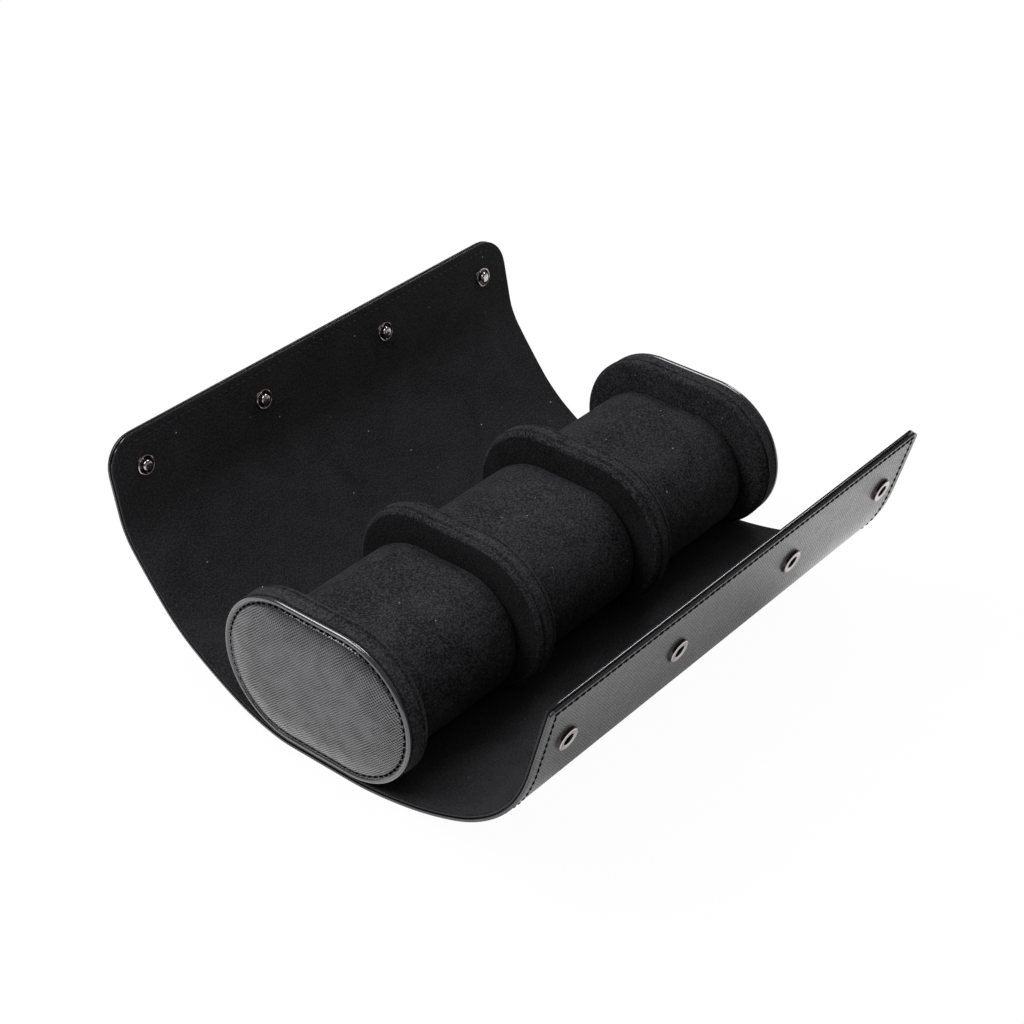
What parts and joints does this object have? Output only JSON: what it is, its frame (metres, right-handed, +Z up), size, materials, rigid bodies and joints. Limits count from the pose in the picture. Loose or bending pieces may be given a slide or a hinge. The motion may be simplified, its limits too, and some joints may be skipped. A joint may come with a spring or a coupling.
{
  "type": "snap closure roll case",
  "caption": "Roll case with upright padded dividers, lift-out pillows and a flexible wrap whose flap snaps over its front tab, shown open.",
  "frame": {"origin": "middle of the flat underside of the base, on the surface that the case rests on", "axes": "+X along the roll, -Y towards the front tab with the snap sockets, +Y towards the flap with the snap studs, +Z up"},
  "size_m": [0.207, 0.1956, 0.087],
  "materials": {
    "black_leather": "cross-hatched grain, semi-gloss",
    "black_suede": "matt microsuede",
    "stiffener_board": "grey board, hidden",
    "pillow_foam": "soft foam, hidden",
    "gunmetal": "polished gunmetal plate"
  },
  "bodies": {
    "case": {"base_leather": "black_leather", "base_board": "stiffener_board", "base_lining": "black_suede", "left_cap_cover": "black_suede", "left_cap_core": "stiffener_board", "left_cap_face": "black_leather", "left_cap_welt": "black_leather", "right_cap_cover": "black_suede", "right_cap_core": "stiffener_board", "right_cap_face": "black_leather", "right_cap_welt": "black_leather", "divider_1_cover": "black_suede", "divider_1_core": "stiffener_board", "divider_2_cover": "black_suede", "divider_2_core": "stiffener_board"},
    "front_wall_1": {"front_1_leather": "black_leather", "front_1_lining": "black_suede"},
    "front_wall_2": {"front_2_leather": "black_leather", "front_2_lining": "black_suede"},
    "front_wall_3": {"front_3_leather": "black_leather", "front_3_lining": "black_suede"},
    "front_wall_4": {"front_4_leather": "black_leather", "front_4_lining": "black_suede"},
    "tab": {"tab_leather": "black_leather", "tab_board": "stiffener_board", "tab_lining": "black_suede", "snap_socket_1": "gunmetal", "snap_socket_2": "gunmetal", "snap_socket_3": "gunmetal", "snap_socket_4": "gunmetal", "snap_post_1": "gunmetal", "snap_post_2": "gunmetal", "snap_post_3": "gunmetal", "snap_post_4": "gunmetal"},
    "back_wall_1": {"back_1_leather": "black_leather", "back_1_lining": "black_suede"},
    "back_wall_2": {"back_2_leather": "black_leather", "back_2_lining": "black_suede"},
    "back_wall_3": {"back_3_leather": "black_leather", "back_3_lining": "black_suede"},
    "back_wall_4": {"back_4_leather": "black_leather", "back_4_lining": "black_suede"},
    "flap": {"flap_leather": "black_leather", "flap_board": "stiffener_board", "flap_lining": "black_suede", "snap_stud_1": "gunmetal", "snap_stud_2": "gunmetal", "snap_stud_3": "gunmetal", "snap_stud_4": "gunmetal", "snap_cap_1": "gunmetal", "snap_cap_2": "gunmetal", "snap_cap_3": "gunmetal", "snap_cap_4": "gunmetal"},
    "pillow_1": {"pillow_1_cover": "black_suede", "pillow_1_foam": "pillow_foam"},
    "pillow_2": {"pillow_2_cover": "black_suede", "pillow_2_foam": "pillow_foam"},
    "pillow_3": {"pillow_3_cover": "black_suede", "pillow_3_foam": "pillow_foam"}
  },
  "joints": [
    {"name": "front_fold_1", "type": "hinge", "parent": "case", "child": "front_wall_1", "pos_m": [0, -0.02225, 0.00318], "axis": [1, 0, 0], "range_deg": [-24.05, 0]},
    {"name": "front_fold_2", "type": "hinge", "parent": "front_wall_1", "child": "front_wall_2", "pos_m": [0, -0.04082, 0.00629], "axis": [1, 0, 0], "range_deg": [-32.41, 0]},
    {"name": "front_fold_3", "type": "hinge", "parent": "front_wall_2", "child": "front_wall_3", "pos_m": [0, -0.05876, 0.01195], "axis": [1, 0, 0], "range_deg": [-19.09, 0]},
    {"name": "front_fold_4", "type": "hinge", "parent": "front_wall_3", "child": "front_wall_4", "pos_m": [0, -0.07456, 0.02201], "axis": [1, 0, 0], "range_deg": [-13.53, 0]},
    {"name": "tab_fold", "type": "hinge", "parent": "front_wall_4", "child": "tab", "pos_m": [0, -0.08542, 0.03725], "axis": [1, 0, 0], "range_deg": [-15.94, 0]},
    {"name": "back_fold_1", "type": "hinge", "parent": "case", "child": "back_wall_1", "pos_m": [0, 0.0222, 0.00367], "axis": [-1, 0, 0], "range_deg": [-13.01, 0]},
    {"name": "back_fold_2", "type": "hinge", "parent": "back_wall_1", "child": "back_wall_2", "pos_m": [0, 0.04068, 0.01039], "axis": [-1, 0, 0], "range_deg": [-32.21, 0]},
    {"name": "back_fold_3", "type": "hinge", "parent": "back_wall_2", "child": "back_wall_3", "pos_m": [0, 0.05759, 0.02056], "axis": [-1, 0, 0], "range_deg": [-24.79, 0]},
    {"name": "back_fold_4", "type": "hinge", "parent": "back_wall_3", "child": "back_wall_4", "pos_m": [0, 0.07209, 0.03384], "axis": [-1, 0, 0], "range_deg": [-15.75, 0]},
    {"name": "flap_fold", "type": "hinge", "parent": "back_wall_4", "child": "flap", "pos_m": [0, 0.0841, 0.04949], "axis": [-1, 0, 0], "range_deg": [-15.27, 0]},
    {"name": "pillow_1_lift", "type": "slide", "parent": "case", "child": "pillow_1", "axis": [0, 0, 1], "range_m": [0, 0.075]},
    {"name": "pillow_2_lift", "type": "slide", "parent": "case", "child": "pillow_2", "axis": [0, 0, 1], "range_m": [0, 0.075]},
    {"name": "pillow_3_lift", "type": "slide", "parent": "case", "child": "pillow_3", "axis": [0, 0, 1], "range_m": [0, 0.075]}
  ],
  "couplings": [
    {"joint": "front_fold_2", "follows": "front_fold_1", "ratio": 1.3473},
    {"joint": "front_fold_3", "follows": "front_fold_1", "ratio": 0.7937},
    {"joint": "front_fold_4", "follows": "front_fold_1", "ratio": 0.5625},
    {"joint": "tab_fold", "follows": "front_fold_1", "ratio": 0.6627},
    {"joint": "back_fold_2", "follows": "back_fold_1", "ratio": 2.4753},
    {"joint": "back_fold_3", "follows": "back_fold_1", "ratio": 1.9052},
    {"joint": "back_fold_4", "follows": "back_fold_1", "ratio": 1.2099},
    {"joint": "flap_fold", "follows": "back_fold_1", "ratio": 1.1732}
  ]
}
